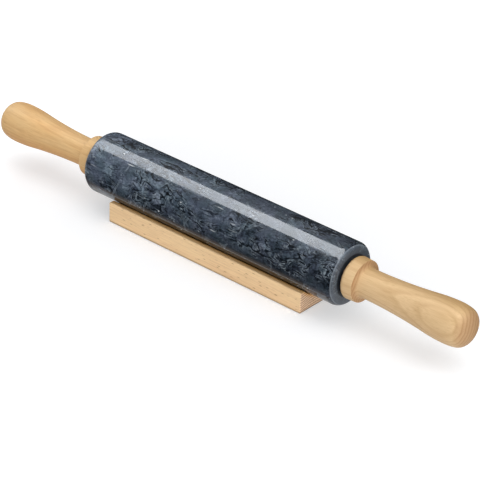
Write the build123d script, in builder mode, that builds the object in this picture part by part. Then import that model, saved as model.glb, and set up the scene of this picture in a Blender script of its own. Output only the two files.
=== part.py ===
from build123d import *
import math
import os

# A marble rolling pin that rests in a wooden cradle.
# X runs along the pin, Y across it, and Z up. The origin is the centre of the cradle's underside.
# All sizes are in millimetres.

# Marble barrel
barrel_length = 250.0
barrel_diameter = 50.0
barrel_edge_radius = 5.0
axle_height = 35.0

# Wooden cradle
cradle_length = 195.0
cradle_width = 46.0
cradle_height = 17.3
cradle_edge_ease = 1.0
trough_clearance = 0.3

# Steel axle rod with a thread at each end
rod_diameter = 8.0
rod_end_chamfer = 1.0
thread_engagement = 20.0
thread_relief_length = 2.0
thread_relief_depth = 0.6

# Nylon bushings in the barrel's ends
bushing_length = 14.0
bushing_wall = 3.0
bushing_flange_width = 2.5
bushing_flange_thickness = 1.5
bushing_lead_chamfer = 0.5
running_clearance = 0.05
pocket_clearance = 0.1
barrel_bore_clearance = 1.5

# Steel thrust washers between the bushings and the handles
washer_thickness = 1.0
washer_outer_diameter = 18.0
washer_bore_clearance = 0.25
end_play = 0.3

# Brass threaded inserts in the handles
insert_length = 22.0
insert_diameter = 13.0
insert_groove_width = 1.2
insert_groove_depth = 0.6
insert_groove_count = 4
thread_clearance = 0.1
glue_gap = 0.1
drill_tip_angle = 118.0
drill_spare_depth = 3.0

# Turned handles
handle_length = 107.5
flange_diameter = 33.5
flange_thickness = 11.2
flange_back_radius = 3.2
flange_front_drop = 0.35
flange_front_break = 0.5
neck_diameter = 23.0
cove_radius = 3.0
grip_diameter = 32.4
end_length = 17.5
# Where the hollow behind the neck turns into the belly, on the way to the girth
swell_turn_share = 0.76
# The corner at which the belly would meet the nose, if the shoulder didn't round it off
corner_diameter = 28.4
nose_rise = 4.8
shoulder_radius = 9.0

# How far a cut runs past the wall that it opens
overrun = 1.0

# Sizes that follow from those above
barrel_radius = barrel_diameter / 2
rod_radius = rod_diameter / 2
end_gap = washer_thickness + end_play
bushing_bore_radius = rod_radius + running_clearance
bushing_radius = bushing_bore_radius + bushing_wall
bushing_flange_radius = bushing_radius + bushing_flange_width
barrel_bore_radius = rod_radius + barrel_bore_clearance
insert_radius = insert_diameter / 2
insert_bore_radius = rod_radius + thread_clearance
handle_hole_radius = insert_radius + glue_gap
handle_hole_depth = insert_length + drill_spare_depth
trough_radius = barrel_radius + trough_clearance

sides = {"left": -1, "right": 1}


def end_plane(side, offset):
    """A plane across the pin, this far out from the barrel's end face, that looks outwards."""
    place = side * (barrel_length / 2 + offset)
    return Plane(origin=(place, 0, axle_height), x_dir=(0, side, 0), z_dir=(side, 0, 0))


def turning_plane(side, offset):
    """A plane along the pin for a turned profile: x runs outwards and y is the radius."""
    place = side * (barrel_length / 2 + offset)
    return Plane(origin=(place, 0, axle_height), x_dir=(side, 0, 0), z_dir=(0, -side, 0))


pin_axis = Axis((0, 0, axle_height), (1, 0, 0))

os.makedirs("parts", exist_ok=True)


def save(name, part):
    part.label = name
    export_step(part, f"parts/{name}.step")


# Cradle: a planed bar with a trough that has the barrel's own curve, all edges eased
with BuildPart() as cradle:
    with BuildSketch(Plane.YZ.offset(-cradle_length / 2)):
        with Locations((0, cradle_height / 2)):
            Rectangle(cradle_width, cradle_height)
        with Locations((0, axle_height)):
            Circle(trough_radius, mode=Mode.SUBTRACT)
    extrude(amount=cradle_length)
    fillet(cradle.edges(), radius=cradle_edge_ease)

save("cradle", cradle.part)


# Marble barrel: a ground cylinder with rounded ends, drilled through for the rod and
# counterbored at both ends for the bushings
with BuildPart() as marble_barrel:
    with BuildSketch(Plane.YZ.offset(-barrel_length / 2)):
        with Locations((0, axle_height)):
            Circle(barrel_radius)
            Circle(barrel_bore_radius, mode=Mode.SUBTRACT)
    extrude(amount=barrel_length)
    outer_rims = marble_barrel.edges().filter_by(GeomType.CIRCLE).group_by(SortBy.RADIUS)[-1]
    fillet(outer_rims, radius=barrel_edge_radius)
    for side in sides.values():
        with Locations(end_plane(side, 0)):
            CounterBoreHole(
                radius=bushing_radius + pocket_clearance,
                counter_bore_radius=bushing_flange_radius + pocket_clearance,
                counter_bore_depth=bushing_flange_thickness,
                depth=bushing_length + pocket_clearance,
            )

save("marble_barrel", marble_barrel.part)


# Axle rod: plain where it turns in the bushings, with a relief groove where each thread begins
# and a chamfer on both ends
with BuildPart() as axle_rod:
    rod_half_length = barrel_length / 2 + end_gap + thread_engagement
    with BuildSketch(Plane.YZ.offset(-rod_half_length)):
        with Locations((0, axle_height)):
            Circle(rod_radius)
    extrude(amount=2 * rod_half_length)
    rod_ends = axle_rod.faces().filter_by(Axis.X).edges()
    chamfer(rod_ends, length=rod_end_chamfer)
    for side in sides.values():
        with BuildSketch(end_plane(side, end_gap)):
            Circle(rod_radius + overrun)
            Circle(rod_radius - thread_relief_depth, mode=Mode.SUBTRACT)
        extrude(amount=thread_relief_length, mode=Mode.SUBTRACT)

save("axle_rod", axle_rod.part)


def make_bushing(side):
    """A flanged sleeve whose flange lies flush with the barrel's end face."""
    with BuildPart() as bushing:
        with BuildSketch(turning_plane(side, 0)):
            with BuildLine():
                Polyline(
                    (0, bushing_bore_radius),
                    (0, bushing_flange_radius),
                    (-bushing_flange_thickness, bushing_flange_radius),
                    (-bushing_flange_thickness, bushing_radius),
                    (-bushing_length, bushing_radius),
                    (-bushing_length, bushing_bore_radius),
                    close=True,
                )
            make_face()
        revolve(axis=pin_axis)
        inner_end = bushing.faces().filter_by(Axis.X).sort_by(Axis.X)[0 if side > 0 else -1]
        lead = inner_end.edges().sort_by(SortBy.RADIUS)[-1]
        chamfer(lead, length=bushing_lead_chamfer)
    return bushing.part


def make_washer(side):
    """A flat ring on the rod, against the handle's back face."""
    with BuildPart() as washer:
        with BuildSketch(end_plane(side, end_play)):
            Circle(washer_outer_diameter / 2)
            Circle(rod_radius + washer_bore_clearance, mode=Mode.SUBTRACT)
        extrude(amount=washer_thickness)
    return washer.part


def make_insert(side):
    """A round brass nut with glue grooves, flush with the handle's back face."""
    with BuildPart() as insert:
        with BuildSketch(end_plane(side, end_gap)):
            Circle(insert_radius)
            Circle(insert_bore_radius, mode=Mode.SUBTRACT)
        extrude(amount=insert_length)
        groove_step = insert_length / insert_groove_count
        for number in range(insert_groove_count):
            groove_place = end_gap + groove_step * (number + 1 / 2) - insert_groove_width / 2
            with BuildSketch(end_plane(side, groove_place)):
                Circle(insert_radius + overrun)
                Circle(insert_radius - insert_groove_depth, mode=Mode.SUBTRACT)
            extrude(amount=insert_groove_width, mode=Mode.SUBTRACT)
    return insert.part


def make_handle(side):
    """A turned handle: flange, cove, neck and swelling grip, with a blind hole for the insert."""
    flange_radius = flange_diameter / 2
    front_radius = flange_radius - flange_front_drop
    neck_radius = neck_diameter / 2
    grip_radius = grip_diameter / 2
    neck_place = flange_thickness + cove_radius
    girth_place = handle_length - end_length
    turn_place = neck_place + swell_turn_share * (girth_place - neck_place)
    turn_radius = neck_radius + swell_turn_share * (grip_radius - neck_radius)
    corner = (handle_length - nose_rise, corner_diameter / 2)
    drill_tip = handle_hole_radius / math.tan(math.radians(drill_tip_angle / 2))
    with BuildPart() as handle:
        with BuildSketch(turning_plane(side, end_gap)) as profile:
            with BuildLine():
                # Flange with a rounded back edge, a slightly coned rim and a crisp front edge
                back_face = Line((0, 0), (0, flange_radius - flange_back_radius))
                back_round = RadiusArc(
                    back_face @ 1,
                    (flange_back_radius, flange_radius),
                    flange_back_radius,
                )
                rim = Line(back_round @ 1, (flange_thickness - flange_front_break, front_radius))
                edge_break = Line(rim @ 1, (flange_thickness, front_radius - flange_front_break))
                front_face = Line(edge_break @ 1, (flange_thickness, neck_radius + cove_radius))
                # Cove from the flange's front face down to the neck
                cove = RadiusArc(front_face @ 1, (neck_place, neck_radius), -cove_radius)
                # Grip: a long hollow, the belly that it turns into, and a taper past the girth
                hollow = TangentArc(cove @ 1, (turn_place, turn_radius), tangent=(1, 0))
                belly = TangentArc(hollow @ 1, (girth_place, grip_radius), tangent=hollow % 1)
                TangentArc(belly @ 1, corner, tangent=(1, 0))
                # Blunt nose across the end, square to the axis
                nose = TangentArc((handle_length, 0), corner, tangent=(0, 1))
                Line(nose @ 0, (0, 0))
            make_face()
            shoulder = profile.vertices().sort_by_distance(corner)[0]
            fillet(shoulder, radius=shoulder_radius)
        revolve(axis=pin_axis)
        # Blind hole with the drill's cone at its bottom
        with BuildSketch(turning_plane(side, end_gap)):
            with BuildLine():
                Polyline(
                    (-overrun, 0),
                    (-overrun, handle_hole_radius),
                    (handle_hole_depth, handle_hole_radius),
                    (handle_hole_depth + drill_tip, 0),
                    close=True,
                )
            make_face()
        revolve(axis=pin_axis, mode=Mode.SUBTRACT)
    return handle.part


# The same four pieces at each end of the barrel
for side_name, side in sides.items():
    save(f"{side_name}_bushing", make_bushing(side))
    save(f"{side_name}_washer", make_washer(side))
    save(f"{side_name}_insert", make_insert(side))
    save(f"{side_name}_handle", make_handle(side))
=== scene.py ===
import math

import bmesh
import bpy
from mathutils import Euler, Matrix, Vector
from mathutils.geometry import intersect_sphere_sphere_2d


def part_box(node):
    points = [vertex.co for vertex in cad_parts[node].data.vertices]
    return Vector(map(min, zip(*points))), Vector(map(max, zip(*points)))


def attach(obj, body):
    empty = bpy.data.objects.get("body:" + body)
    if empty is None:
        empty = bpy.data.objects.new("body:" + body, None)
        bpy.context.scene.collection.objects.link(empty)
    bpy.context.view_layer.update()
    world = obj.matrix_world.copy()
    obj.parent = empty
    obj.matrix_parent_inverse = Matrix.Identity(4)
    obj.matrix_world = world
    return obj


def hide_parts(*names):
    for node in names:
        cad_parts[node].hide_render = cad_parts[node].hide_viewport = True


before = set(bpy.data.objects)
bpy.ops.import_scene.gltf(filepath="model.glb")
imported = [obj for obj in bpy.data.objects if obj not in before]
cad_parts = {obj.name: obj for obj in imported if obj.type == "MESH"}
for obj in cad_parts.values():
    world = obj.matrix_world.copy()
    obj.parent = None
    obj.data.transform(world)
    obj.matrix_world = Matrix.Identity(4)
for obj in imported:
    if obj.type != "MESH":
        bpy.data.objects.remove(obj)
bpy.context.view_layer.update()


# The cradle: a short bar of planed beech with a round trough along its top, in which the pin
# lies. It is one piece of wood, cut along the grain, with its edges eased by hand sanding.
mm = 0.001
cradle_low, cradle_high = (Vector(corner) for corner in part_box("cradle"))
barrel_low, barrel_high = (Vector(corner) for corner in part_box("marble_barrel"))
axle_height = (barrel_low.z + barrel_high.z) / 2
barrel_radius = (barrel_high.z - barrel_low.z) / 2
trough_clearance = 0.3 * mm
cradle_edge_ease = 1.0 * mm
trough_steps = 48
crease_angle = math.radians(32)
# In the materials, which work in millimetres: how a pattern is moved to the axle, and how far
# the grain of the wood wanders
to_axle = (0.0, 0.0, -axle_height / mm)
grain_sway = 7.0


def linear(code):
    """An sRGB hex colour as linear red, green, blue and alpha."""
    parts = [int(code[i:i + 2], 16) / 255 for i in (1, 3, 5)]
    return [c / 12.92 if c <= 0.04045 else ((c + 0.055) / 1.055) ** 2.4 for c in parts] + [1.0]


def add(tree, kind, inputs=(), stops=(), **settings):
    """Adds a shader node with its settings and links. An input is given a number, a hex colour,
    a socket, or a node whose first live output feeds it. Stops are a colour ramp's places, each
    with its grey or its hex colour."""
    node = tree.nodes.new("ShaderNode" + kind)
    for setting, value in settings.items():
        setattr(node, setting, value)
    for _ in stops[2:]:
        node.color_ramp.elements.new(1.0)
    for number, (place, shade) in enumerate(stops):
        band = node.color_ramp.elements[number]
        band.position = place
        band.color = linear(shade) if isinstance(shade, str) else (shade, shade, shade, 1.0)
    for key, value in dict(inputs).items():
        if isinstance(key, str):
            key = next(n for n, s in enumerate(node.inputs) if s.enabled and s.name == key)
        if isinstance(value, bpy.types.Node):
            value = next(socket for socket in value.outputs if socket.enabled)
        if isinstance(value, bpy.types.NodeSocket):
            tree.links.new(value, node.inputs[key])
        else:
            node.inputs[key].default_value = linear(value) if isinstance(value, str) else value
    return node


def bare_material(name):
    """A material with nothing in it but the piece's own coordinates, in millimetres."""
    material = bpy.data.materials.new(name)
    material.use_nodes = True
    tree = material.node_tree
    tree.nodes.clear()
    own = add(tree, "TexCoord").outputs["Object"]
    place = add(tree, "Mapping", {"Vector": own, "Scale": (1 / mm,) * 3})
    return material, tree, place


def sap_and_deep_tone(tree, wandering, drawn_out, sap, deep_tone, deep_side_at, deep_side_mm):
    """Pale sapwood that turns to deep_tone towards deep_side_at, which on the handles is painted
    shade, with soft drifts of deep_tone.
    """
    centre = (0.0, -deep_side_at[0] - grain_sway / 2, -deep_side_at[1] - grain_sway / 2)
    from_heart = add(
        tree, "Mapping", {"Vector": wandering, "Scale": (0.0, 1.0, 1.0), "Location": centre}
    )
    distance = add(tree, "VectorMath", {0: from_heart}, operation="LENGTH")
    # Towards deep_side_at the wood turns to deep_tone; on the handles this is painted shade
    towards_sap = add(
        tree, "MapRange", {"Value": distance, "From Min": deep_side_mm[0], "From Max": deep_side_mm[1]}
    )
    tone = add(tree, "Mix", {"Factor": towards_sap, "A": deep_tone, "B": sap}, data_type="RGBA")
    patch = add(tree, "TexNoise", {"Vector": drawn_out, "Scale": 1 / 17, "Detail": 3.0})
    patch = add(tree, "ValToRGB", {"Fac": patch}, ((0.4, 0.0), (0.68, 0.32)))
    return add(tree, "Mix", {"Factor": patch, "A": tone, "B": deep_tone}, data_type="RGBA")


def growth_rings(tree, tone, wandering, line, pith, ring_mm, depth):
    """Rings round the pith: pale early wood that darkens to a thin line of late wood."""
    centre = (0.0, -pith[0] - grain_sway / 2, -pith[1] - grain_sway / 2)
    from_pith = add(
        tree, "Mapping", {"Vector": wandering, "Scale": (0.12, 1.0, 1.0), "Location": centre}
    )
    growth = add(
        tree,
        "TexWave",
        {
            "Vector": from_pith,
            "Scale": math.pi / 10 / ring_mm,
            "Distortion": 1.6,
            "Detail": 2.0,
            "Detail Scale": 1.2,
        },
        wave_type="RINGS",
        rings_direction="X",
        wave_profile="SAW",
    )
    ring = add(
        tree, "ValToRGB", {"Fac": growth}, ((0.0, 0.0), (0.45, 0.12), (0.84, 1.0), (1.0, 0.2))
    )
    ring = add(tree, "Math", {0: ring, 1: depth}, operation="MULTIPLY")
    return add(tree, "Mix", {"Factor": ring, "A": tone, "B": line}, data_type="RGBA")


def streaks_and_pores(tree, tone, wandering, line, streaks):
    """Long streaks and fine open pores, both drawn out along the grain."""
    long_place = add(tree, "Mapping", {"Vector": wandering, "Scale": (1 / 60, 1 / 1.7, 1 / 1.7)})
    streak = add(tree, "TexNoise", {"Vector": long_place, "Scale": 1.0, "Detail": 3.0})
    streak = add(tree, "ValToRGB", {"Fac": streak}, ((0.48, 0.0), (0.7, streaks)))
    tone = add(tree, "Mix", {"Factor": streak, "A": tone, "B": line}, data_type="RGBA")
    fine_place = add(tree, "Mapping", {"Vector": wandering, "Scale": (1 / 14, 2.0, 2.0)})
    pores = add(tree, "TexNoise", {"Vector": fine_place, "Scale": 1.0, "Detail": 3.0})
    pores = add(tree, "ValToRGB", {"Fac": pores}, ((0.45, 0.0), (0.72, 0.22)))
    tone = add(tree, "Mix", {"Factor": pores, "A": tone, "B": line}, data_type="RGBA")
    return tone, pores


def beech_rays(tree, tone, wandering, flecks):
    """The short dark dashes that mark beech: its rays, cut where they reach the surface."""
    ray_place = add(
        tree,
        "Mapping",
        {"Vector": wandering, "Rotation": (0.3, 0.0, 0.06), "Scale": (1 / 7, 2 / 3, 2 / 3)},
    )
    cells = add(tree, "TexVoronoi", {"Vector": ray_place, "Scale": 1.0})
    ray = add(tree, "ValToRGB", {"Fac": cells.outputs["Distance"]}, ((0.12, 1.0), (0.28, 0.0)))
    kept = add(tree, "SeparateColor", {"Color": cells.outputs["Color"]}).outputs["Red"]
    kept = add(tree, "ValToRGB", {"Fac": kept}, ((0.4, 0.0), (0.85, flecks)))
    ray = add(tree, "Math", {0: ray, 1: kept}, operation="MULTIPLY")
    tone = add(tree, "Mix", {"Factor": ray, "A": tone, "B": "#7a4c28"}, data_type="RGBA")
    return tone, ray


def painted_pin_and_base_shade(tree, tone, place, pin_shade_mm):
    """Painted shade: near the pin the wood is darkened to a deeper, redder tan, and along its lower
    edges, where it meets the floor, it is darker."""
    round_pin = add(
        tree, "Mapping", {"Vector": place, "Scale": (0.0, 1.0, 1.0), "Location": to_axle}
    )
    away = add(tree, "VectorMath", {0: round_pin}, operation="LENGTH")
    pin_shade = add(
        tree,
        "MapRange",
        {"Value": away, "From Min": pin_shade_mm[0], "From Max": pin_shade_mm[1], "To Min": 1, "To Max": 0},
    )
    height = add(tree, "SeparateXYZ", {"Vector": place}).outputs["Z"]
    base_shade = add(
        tree,
        "MapRange",
        {"Value": height, "From Min": 0.7, "From Max": 2.4, "To Min": 1, "To Max": 0},
    )
    # The painted shade near the pin and the painted shade along the lower edges, each with its colour
    for painted, shade in ((pin_shade, "#ffe4b2"), (base_shade, "#b0aca6")):
        tone = add(
            tree,
            "Mix",
            {"Factor": painted, "A": tone, "B": shade},
            data_type="RGBA",
            blend_type="MULTIPLY",
        )
    return tone


def beech(
    name, sap, deep_tone, line, end, pith, deep_side_at, deep_side_mm, ring_mm, rings, end_rings, streaks, flecks,
    roughness, pin_shade_mm=(),
):
    """Sanded beech with its grain along X. Growth rings stand round the pith, and the wood turns to
    deep_tone towards deep_side_at, which on the handles is painted shade; both are given in mm across
    and up, and deep_side_mm are the two distances between which the colour changes. Rings, end_rings,
    streaks and flecks say how strongly each shows. Up to the first distance from the axle in
    pin_shade_mm, a painted shade darkens and reddens the wood, and past the second it doesn't. With
    it, the lower edges are darkened by painted shade too."""
    material, tree, place = bare_material(name)
    # The grain wanders slowly along the wood
    drawn_out = add(tree, "Mapping", {"Vector": place, "Scale": (0.3, 1.0, 1.0)})
    drift = add(tree, "TexNoise", {"Vector": drawn_out, "Scale": 1 / 28})
    wandering = add(
        tree,
        "VectorMath",
        {0: drift.outputs["Color"], 1: (grain_sway,) * 3, 2: place},
        operation="MULTIPLY_ADD",
    )
    tone = sap_and_deep_tone(tree, wandering, drawn_out, sap, deep_tone, deep_side_at, deep_side_mm)
    # Cut across, the fibres drink the finish: end grain has its own colour and plainer rings
    facing = add(tree, "SeparateXYZ", {"Vector": add(tree, "TexCoord").outputs["Normal"]})
    facing = add(tree, "Math", {0: facing.outputs["X"]}, operation="ABSOLUTE")
    end_grain = add(tree, "ValToRGB", {"Fac": facing}, ((0.3, 0.0), (0.92, 1.0)))
    drunk = add(tree, "Math", {0: end_grain, 1: 0.85}, operation="MULTIPLY")
    tone = add(tree, "Mix", {"Factor": drunk, "A": tone, "B": end}, data_type="RGBA")
    depth = add(tree, "MapRange", {"Value": end_grain, "To Min": rings, "To Max": end_rings})
    tone = growth_rings(tree, tone, wandering, line, pith, ring_mm, depth)
    tone, pores = streaks_and_pores(tree, tone, wandering, line, streaks)
    tone, rays = beech_rays(tree, tone, wandering, flecks)
    # Painted shade near the pin and along the lower edges
    if pin_shade_mm:
        tone = painted_pin_and_base_shade(tree, tone, place, pin_shade_mm)
    # Pores and rays lie a little below the surface, and the pores are duller
    rough = add(
        tree, "MapRange", {"Value": pores, "To Min": roughness, "To Max": roughness + 0.16}
    )
    sunk = add(tree, "Math", {0: pores, 1: rays}, operation="ADD")
    dents = add(
        tree, "Bump", {"Height": sunk, "Strength": 0.3, "Distance": 0.05 * mm}, invert=True
    )
    shader = add(
        tree,
        "BsdfPrincipled",
        {"Base Color": tone, "Roughness": rough, "IOR": 1.45, "Normal": dents},
    )
    add(tree, "OutputMaterial", {"Surface": shader})
    return material


def placed(name, bm, material):
    """The bmesh as an object of the scene, with its one material."""
    mesh = bpy.data.meshes.new(name)
    bm.to_mesh(mesh)
    bm.free()
    mesh.materials.append(material)
    piece = bpy.data.objects.new(name, mesh)
    bpy.context.scene.collection.objects.link(piece)
    return piece


def finished(name, bm, material, body, replaced):
    """The bmesh as a smooth piece that rides on a body and stands for its CAD node."""
    bmesh.ops.recalc_face_normals(bm, faces=bm.faces)
    piece = placed(name, bm, material)
    piece.data.shade_smooth()
    piece.data.set_sharp_from_angle(angle=crease_angle)
    weighted = piece.modifiers.new("weighted_normals", "WEIGHTED_NORMAL")
    weighted.keep_sharp = True
    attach(piece, body)
    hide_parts(replaced)


# Planed and sanded, with no varnish: a pale warm tan, plain along the side, and pinker on the
# end grain, where the rings lie nearly level
cradle_beech = beech(
    "sanded_beech_bar",
    sap="#f6d5a5",
    deep_tone="#ebc397",
    line="#8d5c34",
    end="#ffdcba",
    pith=(-4, -70),
    deep_side_at=(-14, -70),
    deep_side_mm=(60, 80),
    ring_mm=2.1,
    rings=0.05,
    end_rings=0.85,
    streaks=0.12,
    flecks=0.7,
    roughness=0.56,
    # Painted shade near the pin, in the trough and on the land beside it
    pin_shade_mm=(25.6, 28.6),
)
# One end's outline, which is the trough's arc closed by four corners, drawn out to the other end
bm = bmesh.new()
trough_radius = barrel_radius + trough_clearance
half_angle = math.acos((axle_height - cradle_high.z) / trough_radius)
trough_edge = trough_radius * math.sin(half_angle)
start = bm.verts.new((cradle_low.x, -trough_edge, cradle_high.z))
bmesh.ops.spin(
    bm,
    geom=[start],
    cent=(cradle_low.x, 0, axle_height),
    axis=(1, 0, 0),
    angle=2 * half_angle,
    steps=trough_steps,
)
arc = sorted(bm.verts, key=lambda v: v.co.y)
corners = [
    bm.verts.new((cradle_low.x, y, z))
    for y, z in (
        (cradle_high.y, cradle_high.z),
        (cradle_high.y, cradle_low.z),
        (cradle_low.y, cradle_low.z),
        (cradle_low.y, cradle_high.z),
    )
]
end_face = bm.faces.new(arc + corners)
grown = bmesh.ops.extrude_face_region(bm, geom=[end_face])["geom"]
bmesh.ops.translate(
    bm,
    vec=(cradle_high.x - cradle_low.x, 0, 0),
    verts=[item for item in grown if isinstance(item, bmesh.types.BMVert)],
)
bmesh.ops.recalc_face_normals(bm, faces=bm.faces)
bmesh.ops.bevel(
    bm,
    geom=[edge for edge in bm.edges if edge.calc_face_angle(0) > crease_angle],
    affect="EDGES",
    offset=cradle_edge_ease,
    segments=4,
    profile=0.5,
    material=-1,
)
finished("beech_cradle", bm, cradle_beech, body="cradle", replaced="cradle")


# The barrel: a ground and polished cylinder of dark blue-grey marble, drilled through for the
# rod. Its end faces are honed, not polished, and the edge between them is rounded.
barrel_half = barrel_high.x
barrel_edge_radius = 5.0 * mm
recess_radius = 9.65 * mm
recess_depth = 1.5 * mm
pocket_radius = 7.15 * mm
pocket_depth = 14.1 * mm
bore_radius = 5.5 * mm
barrel_steps = 256
honed_margin = 1.5 * mm
darkest_stone = "#0d1319"


def line_to(bm, tip, along, radius):
    """Draws an outline on, straight, from its tip to a place along the pin and a radius."""
    new = bm.verts.new((along, 0, radius))
    if tip:
        bm.edges.new((tip, new))
    return new


def turned(bm, steps):
    """Closes the outline drawn in the bmesh, spins it about the axle and lifts it to its height."""
    ends = [vert for vert in bm.verts if len(vert.link_edges) == 1]
    bm.edges.new(ends)
    bmesh.ops.spin(
        bm,
        geom=bm.verts[:] + bm.edges[:],
        cent=(0, 0, 0),
        axis=(1, 0, 0),
        angle=math.tau,
        steps=steps,
        use_merge=True,
    )
    bmesh.ops.remove_doubles(bm, verts=bm.verts, dist=0.001 * mm)
    bmesh.ops.translate(bm, vec=(0, 0, axle_height), verts=bm.verts)


def islands(tree, crumpled, bed):
    """Smooth islands of slate grey, and darker crumbly stone between them."""
    cloud = add(
        tree, "TexNoise", {"Vector": crumpled, "Scale": 1 / 10, "Detail": 4.0, "Roughness": 0.6}
    )
    smooth = add(
        tree,
        "ValToRGB",
        {"Fac": cloud},
        ((0.36, "#353e47"), (0.46, "#3b444e"), (0.55, "#434c57"), (0.66, "#525c67")),
    )
    crumbly = add(
        tree,
        "ValToRGB",
        {"Fac": cloud},
        ((0.36, "#272e37"), (0.46, "#323a44"), (0.56, "#414a54"), (0.66, "#5e6872")),
    )
    between = add(tree, "ValToRGB", {"Fac": bed}, ((0.46, 0.0), (0.54, 1.0)))
    return add(tree, "Mix", {"Factor": between, "A": smooth, "B": crumbly}, data_type="RGBA")


def darkened(tree, stone, place, along):
    """The bed is darker towards the right end, and a painted shade darkens it towards the back and
    the bottom. Low down, over the trough, a painted shade makes it nearly black, but not past the
    cradle's ends."""
    slope = add(
        tree, "VectorMath", {0: place, 1: (-0.0033, -0.012, 0.028)}, operation="DOT_PRODUCT"
    )
    lightness = add(
        tree,
        "MapRange",
        {"Value": slope, "From Min": 0.906, "From Max": 2.017, "To Min": 0.5, "To Max": 1.5},
    )
    # Painted shade of the cradle on the low side of the barrel, which stops past the cradle's ends
    height = add(tree, "SeparateXYZ", {"Vector": place}).outputs["Z"]
    lit_share = add(
        tree, "MapRange", {"Value": height, "From Min": 24.0, "From Max": 31.0, "To Min": 0.15}
    )
    cradle_end = cradle_high.x / mm
    overhang = add(
        tree,
        "MapRange",
        {"Value": along, "From Min": cradle_end - 1, "From Max": cradle_end + 3},
    )
    lit_share = add(tree, "Math", {0: lit_share, 1: overhang}, operation="MAXIMUM")
    lightness = add(tree, "Math", {0: lightness, 1: lit_share}, operation="MULTIPLY")
    return add(tree, "VectorMath", {"Vector": stone, "Scale": lightness}, operation="SCALE")


def wrinkles(tree, stone, place, crumpled, wrinkled):
    """Thin black creases that follow one another closely, with pale ridges beside some."""
    tilted = add(
        tree,
        "Mapping",
        {"Vector": crumpled, "Rotation": (0.3, 0.1, 0.2), "Scale": (1 / 34, 1 / 13, 1 / 13)},
    )
    wrinkle = add(
        tree, "TexNoise", {"Vector": tilted, "Scale": 1.0, "Detail": 3.0, "Roughness": 0.5}
    )
    wrinkle = add(tree, "Math", {0: wrinkle, 1: 0.05}, operation="PINGPONG")
    crease = add(tree, "ValToRGB", {"Fac": wrinkle}, ((0.006, 0.95), (0.02, 0.0)))
    crease = add(tree, "Math", {0: crease, 1: wrinkled}, operation="MULTIPLY")
    stone = add(tree, "Mix", {"Factor": crease, "A": stone, "B": darkest_stone}, data_type="RGBA")
    ridge = add(tree, "ValToRGB", {"Fac": wrinkle}, ((0.018, 0.0), (0.026, 0.55), (0.04, 0.0)))
    ridge = add(tree, "Math", {0: ridge, 1: wrinkled}, operation="MULTIPLY")
    some = add(tree, "TexNoise", {"Vector": place, "Scale": 1 / 8})
    some = add(tree, "ValToRGB", {"Fac": some}, ((0.44, 0.0), (0.6, 1.0)))
    ridge = add(tree, "Math", {0: ridge, 1: some}, operation="MULTIPLY")
    return add(tree, "Mix", {"Factor": ridge, "A": stone, "B": "#949fa7"}, data_type="RGBA")


def healed_cracks(tree, stone, place, bent):
    """Nearly straight pale seams with one dark edge, which come and go."""
    crack = add(
        tree, "TexVoronoi", {"Vector": bent, "Scale": 1 / 44}, feature="DISTANCE_TO_EDGE"
    )
    here = add(tree, "TexNoise", {"Vector": place, "Scale": 1 / 14, "Detail": 1.0})
    here = add(tree, "ValToRGB", {"Fac": here}, ((0.54, 0.0), (0.6, 1.0)))
    for stops, shade in (
        (((0.0, 0.2), (0.014, 0.35), (0.02, 0.0)), "#7c8790"),
        (((0.018, 0.0), (0.022, 0.7), (0.032, 0.0)), darkest_stone),
    ):
        seam = add(tree, "ValToRGB", {"Fac": crack}, stops)
        seam = add(tree, "Math", {0: seam, 1: here}, operation="MULTIPLY")
        stone = add(tree, "Mix", {"Factor": seam, "A": stone, "B": shade}, data_type="RGBA")
    return stone


def calcite(tree, stone, bent):
    """A few pale strokes that lie two ways, and small white flecks."""
    for turn, size, width, least, most in (
        ((0.2, 0.55, 0.1), (32.0, 3.6, 3.6), 0.16, 0.8, 0.9),
        ((-0.2, -0.5, 0.1), (32.0, 3.6, 3.6), 0.16, 0.8, 0.9),
        ((0.0, 0.0, 0.0), (7.0, 5.0, 5.0), 0.15, 0.72, 1.0),
    ):
        laid = add(
            tree, "Mapping", {"Vector": bent, "Rotation": turn, "Scale": [1 / s for s in size]}
        )
        cells = add(tree, "TexVoronoi", {"Vector": laid, "Scale": 1.0})
        white = add(
            tree,
            "ValToRGB",
            {"Fac": cells.outputs["Distance"]},
            ((width * 0.4, 1.0), (width, 0.0)),
        )
        kept = add(tree, "SeparateColor", {"Color": cells.outputs["Color"]}).outputs["Red"]
        kept = add(tree, "ValToRGB", {"Fac": kept}, ((least, 0.0), (1.0, most)))
        white = add(tree, "Math", {0: white, 1: kept}, operation="MULTIPLY")
        stone = add(tree, "Mix", {"Factor": white, "A": stone, "B": "#ced4d8"}, data_type="RGBA")
    return stone


def honed_ends(tree, stone, place, along, honed, edge):
    """The ends are honed, so the stone is paler there, with a painted highlight along the edge where
    the polish stops. Under the handle's flange, a painted shadow in the gap makes it nearly black."""
    pale = add(tree, "Mix", {"Factor": 0.35, "A": stone, "B": "#6a7480"}, data_type="RGBA")
    # A painted highlight along the edge where the polish stops
    line = add(tree, "Math", {0: along, 1: edge + 0.2, 2: 0.4}, operation="COMPARE")
    line = add(tree, "Math", {0: line, 1: 0.18}, operation="MULTIPLY")
    pale = add(tree, "Mix", {"Factor": line, "A": pale, "B": "#aab3bc"}, data_type="RGBA")
    # A painted shadow in the gap under the handle's flange
    across = add(tree, "Mapping", {"Vector": place, "Scale": (0.0, 1.0, 1.0), "Location": to_axle})
    out = add(tree, "VectorMath", {0: across}, operation="LENGTH")
    gap_shadow = add(
        tree, "MapRange", {"Value": out, "From Min": 17.3, "From Max": 16.9, "To Max": 0.85}
    )
    pale = add(tree, "Mix", {"Factor": gap_shadow, "A": pale, "B": darkest_stone}, data_type="RGBA")
    return add(tree, "Mix", {"Factor": honed, "A": stone, "B": pale}, data_type="RGBA")


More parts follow.
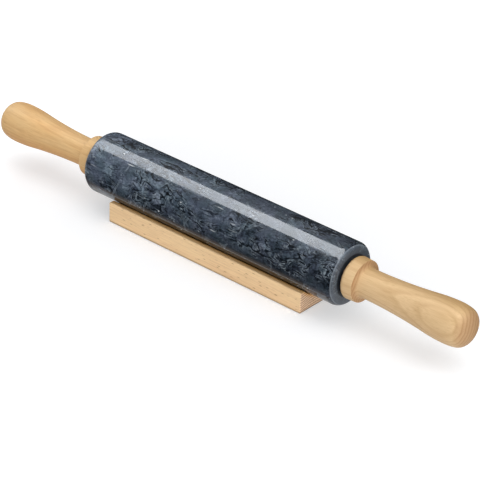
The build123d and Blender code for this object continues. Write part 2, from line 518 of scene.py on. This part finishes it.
def marble(name):
    """Dark marble: slate grey islands in wrinkled darker stone, with healed cracks and calcite."""
    material, tree, place = bare_material(name)
    from_middle = add(tree, "SeparateXYZ", {"Vector": place}).outputs["X"]
    along = add(tree, "Math", {0: from_middle}, operation="ABSOLUTE")
    # The beds lie along the barrel and are folded, and the clouds and wrinkles follow the folds
    bedded = add(tree, "Mapping", {"Vector": place, "Scale": (0.66, 1.12, 1.12)})
    fold = add(tree, "TexNoise", {"Vector": bedded, "Scale": 1 / 24})
    folded = add(
        tree,
        "VectorMath",
        {0: fold.outputs["Color"], 1: (22.0,) * 3, 2: bedded},
        operation="MULTIPLY_ADD",
    )
    crumple = add(tree, "TexNoise", {"Vector": folded, "Scale": 1 / 6, "Detail": 3.0})
    crumpled = add(
        tree,
        "VectorMath",
        {0: crumple.outputs["Color"], 1: (5.0,) * 3, 2: folded},
        operation="MULTIPLY_ADD",
    )
    bed = add(tree, "TexNoise", {"Vector": folded, "Scale": 1 / 17, "Detail": 3.0})
    stone = islands(tree, crumpled, bed)
    stone = darkened(tree, stone, place, along)
    # A slow drift of hue, from violet grey to green grey
    hue = add(tree, "TexNoise", {"Vector": place, "Scale": 1 / 13})
    hue = add(tree, "ValToRGB", {"Fac": hue}, ((0.4, "#c3bccb"), (0.6, "#b3c2c2")))
    stone = add(
        tree,
        "Mix",
        {"Factor": 0.45, "A": stone, "B": hue},
        data_type="RGBA",
        blend_type="SOFT_LIGHT",
    )
    # The crumbly beds are the wrinkled ones
    wrinkled = add(tree, "ValToRGB", {"Fac": bed}, ((0.42, 0.25), (0.52, 1.0)))
    stone = wrinkles(tree, stone, place, crumpled, wrinkled)
    # Cracks and calcite came later, so they don't follow the folds and bend only a little
    bend = add(tree, "TexNoise", {"Vector": place, "Scale": 1 / 9})
    bent = add(
        tree,
        "VectorMath",
        {0: bend.outputs["Color"], 1: (2.5,) * 3, 2: place},
        operation="MULTIPLY_ADD",
    )
    stone = healed_cracks(tree, stone, place, bent)
    # Fine sugary grain
    grain = add(tree, "TexNoise", {"Vector": place, "Scale": 1 / 2.2, "Roughness": 0.7})
    grain = add(tree, "ValToRGB", {"Fac": grain}, ((0.34, 0.1), (0.66, 0.9)))
    grainy = add(tree, "MapRange", {"Value": wrinkled, "To Min": 0.25, "To Max": 0.8})
    stone = add(
        tree,
        "Mix",
        {"Factor": grainy, "A": stone, "B": grain},
        data_type="RGBA",
        blend_type="SOFT_LIGHT",
    )
    stone = calcite(tree, stone, bent)
    edge = (barrel_half - honed_margin) / mm
    honed = add(tree, "MapRange", {"Value": along, "From Min": edge - 0.15, "From Max": edge + 0.15})
    stone = honed_ends(tree, stone, place, along, honed, edge)
    # The polish is duller in a few soft patches and at the rubbed left end, and not quite flat
    dull = add(tree, "TexNoise", {"Vector": folded, "Scale": 1 / 15, "Detail": 1.0})
    dull = add(tree, "ValToRGB", {"Fac": dull}, ((0.5, 0.05), (0.6, 0.12), (0.72, 0.28)))
    left_end = -barrel_half / mm
    worn = add(
        tree,
        "MapRange",
        {
            "Value": from_middle,
            "From Min": left_end + 14,
            "From Max": left_end + 3,
            "To Max": 0.25,
        },
    )
    rough = add(tree, "Math", {0: worn, 1: dull}, operation="ADD")
    rough = add(tree, "Mix", {"Factor": honed, "A": rough, "B": 0.5})
    swell = add(tree, "TexNoise", {"Vector": place, "Scale": 1 / 12, "Detail": 1.0})
    swell = add(tree, "Bump", {"Height": swell, "Strength": 0.5, "Distance": 0.1 * mm})
    shader = add(
        tree,
        "BsdfPrincipled",
        {"Base Color": stone, "Roughness": rough, "IOR": 1.5, "Normal": swell},
    )
    add(tree, "OutputMaterial", {"Surface": shader})
    return material


polished_marble = marble("polished_dark_marble")
# The outline from the bottom of the left end's pocket out to its rim, and the same mirrored
left_wall = [
    (-barrel_half + pocket_depth, bore_radius),
    (-barrel_half + pocket_depth, pocket_radius),
    (-barrel_half + recess_depth, pocket_radius),
    (-barrel_half + recess_depth, recess_radius),
    (-barrel_half, recess_radius),
    (-barrel_half, barrel_radius),
]
bm = bmesh.new()
tip = None
for along, radius in left_wall + [(-x, r) for x, r in reversed(left_wall)]:
    tip = line_to(bm, tip, along, radius)
turned(bm, barrel_steps)
# The rounded edge runs round both rims
middle = Vector((axle_height, 0))
rim_edges = [
    edge
    for edge in bm.edges
    if all((vert.co.zy - middle).length > 0.99 * barrel_radius for vert in edge.verts)
    and edge.verts[0].co.x == edge.verts[1].co.x
]
bmesh.ops.bevel(
    bm,
    geom=rim_edges,
    affect="EDGES",
    offset=barrel_edge_radius,
    segments=12,
    profile=0.5,
    material=-1,
)
finished(
    "marble_roller", bm, polished_marble, body="barrel", replaced="marble_barrel"
)


# The axle rod and its washers: drawn steel, zinc plated, so it has a dull lengthwise sheen. The
# CAD's own pieces stay, because the barrel and the handles cover them.
def drawn_metal(name, dark, light, roughness, grain_mm):
    """Bright metal with fine lines along the axle."""
    material, tree, place = bare_material(name)
    drawn = add(
        tree, "Mapping", {"Vector": place, "Scale": (1 / 40, 1 / grain_mm, 1 / grain_mm)}
    )
    lines = add(tree, "TexNoise", {"Vector": drawn, "Scale": 1.0})
    shade = add(tree, "ValToRGB", {"Fac": lines}, ((0.3, dark), (0.7, light)))
    rough = add(
        tree, "MapRange", {"Value": lines, "To Min": roughness - 0.06, "To Max": roughness + 0.06}
    )
    shader = add(
        tree, "BsdfPrincipled", {"Base Color": shade, "Roughness": rough, "Metallic": 1.0}
    )
    add(tree, "OutputMaterial", {"Surface": shader})
    return material


def finish_node(node, material):
    """Gives a CAD node this material in all its slots."""
    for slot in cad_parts[node].material_slots:
        slot.material = material


plated_steel = drawn_metal(
    "plated_drawn_steel", dark="#b4b7b9", light="#c6c8ca", roughness=0.28, grain_mm=0.4
)
for node in ("axle_rod", "left_washer", "right_washer"):
    finish_node(node, plated_steel)


# The threaded inserts: turned brass, glued into the handles' drilled holes. They are bright and
# yellow, and stay so, because no air reaches them there.
turned_brass = drawn_metal(
    "turned_brass", dark="#c39f57", light="#d2b26c", roughness=0.3, grain_mm=0.5
)
for node in ("left_insert", "right_insert"):
    finish_node(node, turned_brass)


# The bushings: flanged sleeves of natural nylon, pressed into the barrel's ends. The rod turns
# in them. Moulded, so their skin is smooth, milky and a little uneven.
nylon, tree, place = bare_material("moulded_natural_nylon")
flow = add(tree, "TexNoise", {"Vector": place, "Scale": 1 / 4})
milky = add(tree, "ValToRGB", {"Fac": flow}, ((0.3, "#dedbd0"), (0.7, "#ece9df")))
skin = add(tree, "MapRange", {"Value": flow, "To Min": 0.38, "To Max": 0.5})
shader = add(tree, "BsdfPrincipled", {"Base Color": milky, "Roughness": skin, "IOR": 1.53})
add(tree, "OutputMaterial", {"Surface": shader})
for node in ("left_bushing", "right_bushing"):
    finish_node(node, nylon)


# The handles: turned beech, one at each end of the rod. Each is a flange that covers the
# washer, a small cove, and a grip that swells to a blunt, rounded end. Sanded, hardly lacquered.
flange_thickness = 11.2 * mm
flange_back_radius = 3.2 * mm
flange_front_drop = 0.35 * mm
flange_front_break = 0.5 * mm
neck_radius = 11.5 * mm
cove_radius = 3.0 * mm
grip_radius = 16.2 * mm
end_length = 17.5 * mm
swell_turn_share = 0.76
corner_radius = 14.2 * mm
nose_rise = 4.8 * mm
shoulder_radius = 9.0 * mm
handle_hole_radius = 6.6 * mm
handle_hole_depth = 25.0 * mm
handle_steps = 160


def arc_to(bm, tip, centre, along, radius, steps):
    """Draws an outline on, round a centre, from its tip to a place along the pin and a radius."""
    centre = Vector(centre)
    turn = (tip.co.xz - centre).angle_signed(Vector((along, radius)) - centre)
    spun = bmesh.ops.spin(
        bm, geom=[tip], cent=(centre.x, 0, centre.y), axis=(0, 1, 0), angle=turn, steps=steps
    )
    return spun["geom_last"][0]


def arc_radius(run, rise):
    """The radius of an arc that sets off square to its rise, and rises this much over its run."""
    return (run * run + rise * rise) / (2 * rise)


# Turned beech: the left handle is pale and streaky, and deeper in colour below, which is painted
# shade. The right one is cut so that its rings show as a flame on the grip and as rings about its
# nose, and it is deeper in colour on its upper back, which is painted shade too.
handle_woods = {
    "left": beech(
        "turned_beech_left",
        sap="#deba85",
        deep_tone="#d09245",
        line="#a56d36",
        end="#d8b482",
        pith=(10, -40),
        # Painted shade below: the deep tone lies under the handle
        deep_side_at=(10, -40),
        deep_side_mm=(64, 80),
        ring_mm=2.6,
        rings=0.1,
        end_rings=0.35,
        streaks=0.3,
        flecks=0.14,
        roughness=0.53,
    ),
    "right": beech(
        "turned_beech_right",
        sap="#dcbc8f",
        deep_tone="#bb9763",
        line="#a3743f",
        end="#bf9972",
        pith=(52, 5),
        # Painted shade on the upper back: the deep tone lies there
        deep_side_at=(40, 75),
        deep_side_mm=(43, 54),
        ring_mm=2.9,
        rings=0.26,
        end_rings=0.6,
        streaks=0.14,
        flecks=0.14,
        roughness=0.56,
    ),
}
for side_name, side in (("left", -1), ("right", 1)):
    low, high = (Vector(corner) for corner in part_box(f"{side_name}_handle"))
    back = high.x if side < 0 else low.x
    handle_length = high.x - low.x
    flange_radius = (high.z - low.z) / 2
    front_radius = flange_radius - flange_front_drop
    break_place = flange_thickness - flange_front_break
    neck_place = flange_thickness + cove_radius
    girth_place = handle_length - end_length
    turn_run = swell_turn_share * (girth_place - neck_place)
    turn_rise = swell_turn_share * (grip_radius - neck_radius)
    hollow_arc = arc_radius(turn_run, turn_rise)
    belly_arc = hollow_arc * (1 - swell_turn_share) / swell_turn_share
    taper_arc = arc_radius(end_length - nose_rise, grip_radius - corner_radius)
    nose_arc = arc_radius(corner_radius, nose_rise)
    # The shoulder's arc touches the taper's and the nose's from inside
    taper_centre = Vector((girth_place, grip_radius - taper_arc))
    nose_centre = Vector((handle_length - nose_arc, 0))
    shoulder_centre = max(
        intersect_sphere_sphere_2d(
            taper_centre, taper_arc - shoulder_radius, nose_centre, nose_arc - shoulder_radius
        ),
        key=lambda place: place.y,
    )
    taper_end = taper_centre + (shoulder_centre - taper_centre).normalized() * taper_arc
    nose_start = nose_centre + (shoulder_centre - nose_centre).normalized() * nose_arc
    # The blind hole, the flange's back, its rounded edge and its rim
    bm = bmesh.new()
    tip = line_to(bm, None, handle_hole_depth, 0)
    tip = line_to(bm, tip, handle_hole_depth, handle_hole_radius)
    tip = line_to(bm, tip, 0, handle_hole_radius)
    tip = line_to(bm, tip, 0, flange_radius - flange_back_radius)
    back_centre = (flange_back_radius, flange_radius - flange_back_radius)
    tip = arc_to(bm, tip, back_centre, flange_back_radius, flange_radius, steps=8)
    tip = line_to(bm, tip, break_place, front_radius)
    # The broken front edge, the flange's front and the cove down to the neck
    front_low = front_radius - flange_front_break
    tip = arc_to(bm, tip, (break_place, front_low), flange_thickness, front_low, steps=3)
    tip = line_to(bm, tip, flange_thickness, neck_radius + cove_radius)
    cove_centre = (neck_place, neck_radius + cove_radius)
    tip = arc_to(bm, tip, cove_centre, neck_place, neck_radius, steps=8)
    # The long hollow, the belly, the taper, the shoulder and the nose
    hollow_centre = (neck_place, neck_radius + hollow_arc)
    turn_place = neck_place + turn_run
    tip = arc_to(bm, tip, hollow_centre, turn_place, neck_radius + turn_rise, steps=28)
    belly_centre = (girth_place, grip_radius - belly_arc)
    tip = arc_to(bm, tip, belly_centre, girth_place, grip_radius, steps=12)
    tip = arc_to(bm, tip, taper_centre, *taper_end, steps=6)
    tip = arc_to(bm, tip, shoulder_centre, *nose_start, steps=12)
    tip = arc_to(bm, tip, nose_centre, handle_length, 0, steps=8)
    turned(bm, handle_steps)
    bmesh.ops.scale(bm, vec=(side, 1, 1), verts=bm.verts)
    bmesh.ops.translate(bm, vec=(back, 0, 0), verts=bm.verts)
    finished(
        f"{side_name}_turned_handle",
        bm,
        handle_woods[side_name],
        body="handles",
        replaced=f"{side_name}_handle",
    )


# The floor: a plain pale sheet that takes the soft shadow. To the camera and to mirrors it glows
# a little, so that it is white where the light reaches it. The glow is slightly cool, so that the
# shadow is a neutral grey.
floor_half = 3.0
floor_tint = (0.975, 1.0, 1.015, 1.0)
# How strongly it glows, by the distance from its middle in metres. Past the pin's ends it glows
# more, so that the shadow stops there and no horizon shows
floor_glows = ((0.198, 0.408), (0.24, 0.55), (1.8, 0.95))


def seen_white(tree):
    """One where the camera, a mirror or clear glass looks at the background, and else none."""
    rays = add(tree, "LightPath").outputs
    seen = rays["Is Camera Ray"]
    for ray in ("Is Glossy Ray", "Is Transmission Ray"):
        seen = add(tree, "Math", {0: seen, 1: rays[ray]}, operation="MAXIMUM")
    return seen


paper, tree, place = bare_material("pale_studio_paper")
tooth = add(tree, "TexNoise", {"Vector": place, "Scale": 1 / 30})
tooth = add(tree, "ValToRGB", {"Fac": tooth}, ((0.0, "#d7d7d9"), (1.0, "#d9d9db")))
far = add(tree, "VectorMath", {0: place}, operation="LENGTH")
far = add(tree, "Math", {0: far, 1: mm / floor_half}, operation="MULTIPLY")
glow = add(
    tree, "ValToRGB", {"Fac": far}, [(metres / floor_half, glow) for metres, glow in floor_glows]
)
glow = add(tree, "Math", {0: seen_white(tree), 1: glow}, operation="MULTIPLY")
shader = add(
    tree,
    "BsdfPrincipled",
    {
        "Base Color": tooth,
        "Roughness": 0.9,
        "Specular IOR Level": 0.0,
        "Emission Color": floor_tint,
        "Emission Strength": glow,
    },
)
add(tree, "OutputMaterial", {"Surface": shader})
bm = bmesh.new()
bmesh.ops.create_grid(bm, x_segments=1, y_segments=1, size=floor_half)
placed("studio_floor", bm, paper)


# The studio's air: white to the camera, to mirrors and to clear glass, and an even soft light
# for everything else.
air_light = 0.624
world = bpy.data.worlds.new("studio_air")
bpy.context.scene.world = world
world.use_nodes = True
tree = world.node_tree
tree.nodes.clear()
soft = add(tree, "Background", {"Color": (1, 1, 1, 1), "Strength": air_light})
white = add(tree, "Background", {"Color": (1, 1, 1, 1), "Strength": 1.0})
air = add(tree, "MixShader", {0: seen_white(tree), 1: soft, 2: white})
add(tree, "OutputWorld", {"Surface": air})


# The lamps: a long softbox right above the pin, and a broad soft fill in front and to the right.
# Neither shows in the polish.
def area_lamp(name, size, watts, place):
    """A rectangular lamp that hangs at a place and points at the pin."""
    data = bpy.data.lights.new(name, "AREA")
    data.shape = "RECTANGLE"
    data.size, data.size_y = size
    data.energy = watts
    lamp = bpy.data.objects.new(name, data)
    lamp.location = place
    towards_pin = Vector((0, 0, 0)) - Vector(place)
    lamp.rotation_euler = towards_pin.to_track_quat("-Z", "Y").to_euler()
    lamp.visible_glossy = False
    bpy.context.scene.collection.objects.link(lamp)


area_lamp("softbox", size=(2.4, 0.7), watts=5.2, place=(0, 0, 1.2))
area_lamp("front_fill", size=(2.4, 1.4), watts=34.3, place=(1.8, -1.9, 0.65))


# The tent: dark cards right round the set, with one long lit window overhead. Only mirror
# reflections see it, and it gives the polished barrel its dark sides and its one clean strip.
tent_radius = 1.2
tent_half_length = 3.0
tent_steps = 48
card_gap = 26 * mm
card_height = 1.0 * mm
# On the floor, the cards are lighter towards their inner edges, and take on the cradle's tan
card_reach = 100 * mm
card_shades = (
    (card_gap, "#b7a291"),
    (30 * mm, "#b09c8e"),
    (34 * mm, "#7c766f"),
    (42 * mm, 0.0),
)
# The window's edges and how soft they are, in degrees up from the front
window_from = 69.1
window_to = 106.7
window_blur = 0.6
window_light = 8.45
window_white = "#f6faff"
# Where its light begins to fade towards the left, where it has faded, and to what share
fade_from = -0.74
fade_to = -0.91
fade_share = 0.77
# A half round, and at each of its feet a card down to the floor and another in to the cradle
bm = bmesh.new()
start = bm.verts.new((-tent_half_length, -tent_radius, axle_height))
bmesh.ops.spin(
    bm,
    geom=[start],
    cent=(-tent_half_length, 0, axle_height),
    axis=(1, 0, 0),
    angle=-math.pi,
    steps=tent_steps,
)
for foot in sorted(bm.verts, key=lambda v: v.co.z)[:2]:
    drop = bm.verts.new((foot.co.x, foot.co.y, card_height))
    inner = bm.verts.new((foot.co.x, math.copysign(card_gap, foot.co.y), card_height))
    bm.edges.new((foot, drop))
    bm.edges.new((drop, inner))
grown = bmesh.ops.extrude_edge_only(bm, edges=bm.edges)["geom"]
bmesh.ops.translate(
    bm,
    vec=(2 * tent_half_length, 0, 0),
    verts=[item for item in grown if isinstance(item, bmesh.types.BMVert)],
)
cards, tree, place = bare_material("dark_tent_cards")
from_axle = add(tree, "Mapping", {"Vector": place, "Location": to_axle})
sides = add(tree, "SeparateXYZ", {"Vector": from_axle}).outputs
forward = add(tree, "Math", {0: sides["Y"], 1: -1.0}, operation="MULTIPLY")
turn = add(tree, "Math", {0: sides["Z"], 1: forward}, operation="ARCTAN2")
half_turn = add(tree, "Math", {0: turn, 1: math.pi}, operation="DIVIDE")
blur = window_blur / 2 / 180
window_start = window_from / 180
window_end = window_to / 180
spill = add(
    tree,
    "ValToRGB",
    {"Fac": half_turn},
    (
        (0.0, 0.02),
        (0.2, 0.1),
        (window_start - blur, 0.6),
        (window_end + blur, 0.6),
        (0.82, 0.15),
        (1.0, 0.02),
    ),
)
beside = add(tree, "Math", {0: sides["Y"]}, operation="ABSOLUTE")
beside = add(tree, "Math", {0: beside, 1: mm / card_reach}, operation="MULTIPLY")
beside = add(
    tree, "ValToRGB", {"Fac": beside}, [(away / card_reach, shade) for away, shade in card_shades]
)
spill = add(
    tree,
    "Mix",
    {"Factor": 1.0, "A": spill, "B": beside},
    data_type="RGBA",
    blend_type="LIGHTEN",
)
window = add(
    tree,
    "ValToRGB",
    {"Fac": half_turn},
    (
        (window_start - blur, 0.0),
        (window_start + blur, 1.0),
        (window_end - blur, 1.0),
        (window_end + blur, 0.0),
    ),
)
fade = add(
    tree,
    "MapRange",
    {
        "Value": sides["X"],
        "From Min": fade_to / mm,
        "From Max": fade_from / mm,
        "To Min": fade_share,
    },
)
window = add(tree, "Math", {0: window, 1: fade}, operation="MULTIPLY")
bright = [window_light * channel for channel in linear(window_white)]
lit = add(tree, "Mix", {"Factor": window, "A": spill, "B": bright}, data_type="RGBA")
add(tree, "OutputMaterial", {"Surface": add(tree, "Emission", {"Color": lit})})
cards.cycles.emission_sampling = "NONE"
tent = placed("dark_tent", bm, cards)
tent.visible_camera = False
tent.visible_diffuse = False
tent.visible_shadow = False
tent.visible_transmission = False
tent.visible_volume_scatter = False


# The camera stands to the right of the pin's middle and looks down at it, with a long lens. Its
# focal length is given in pixels of the picture, which is square.
camera_azimuth = 40.175
camera_elevation = 30.087
camera_roll = 2.267
camera_distance = 1.6667
camera_aim = (0.01206, 0.00694, 0.01573)
lens_pixels = 2193.4
image_pixels = 480
sensor_mm = 36.0
data = bpy.data.cameras.new("camera")
data.sensor_width = sensor_mm
data.lens = lens_pixels / image_pixels * sensor_mm
data.clip_end = 20.0
camera = bpy.data.objects.new("camera", data)
facing = Euler((math.radians(90 - camera_elevation), 0, math.radians(camera_azimuth))).to_matrix()
facing = facing @ Matrix.Rotation(math.radians(camera_roll), 3, "Z")
camera.rotation_euler = facing.to_euler()
camera.location = Vector(camera_aim) + camera_distance * facing.col[2]
bpy.context.scene.collection.objects.link(camera)
bpy.context.scene.camera = camera

bpy.context.scene.view_settings.view_transform = "Standard"
